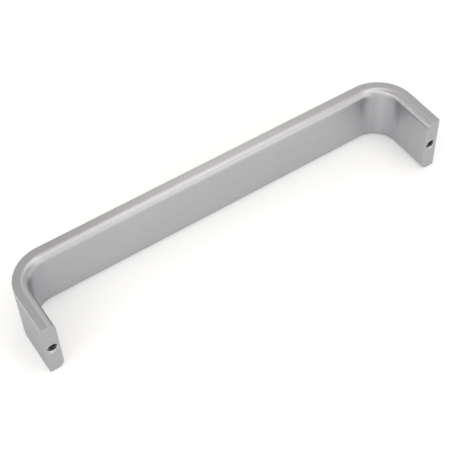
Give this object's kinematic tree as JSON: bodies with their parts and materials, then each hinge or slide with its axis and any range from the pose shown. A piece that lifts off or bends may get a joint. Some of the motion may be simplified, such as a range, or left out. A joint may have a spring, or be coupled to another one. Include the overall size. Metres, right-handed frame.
{
  "type": "furniture pull handle",
  "caption": "Bow pull handle bent from a flat aluminium strip, with rounded edges on the finger side and a tapped blind hole in the cut end of each leg.",
  "frame": {"origin": "midway between the two fixing holes, in the mounting plane of the legs' cut ends", "axes": "+X along the grip, +Y out of the mounting plane towards the furniture, +Z along the strip's width, upright as on a drawer front"},
  "size_m": [0.1656, 0.0315, 0.024],
  "materials": {
    "satin_aluminium": "finely brushed along the strip and clear anodised, with plain cut ends"
  },
  "bodies": {
    "root": {"handle": "satin_aluminium"}
  },
  "joints": []
}
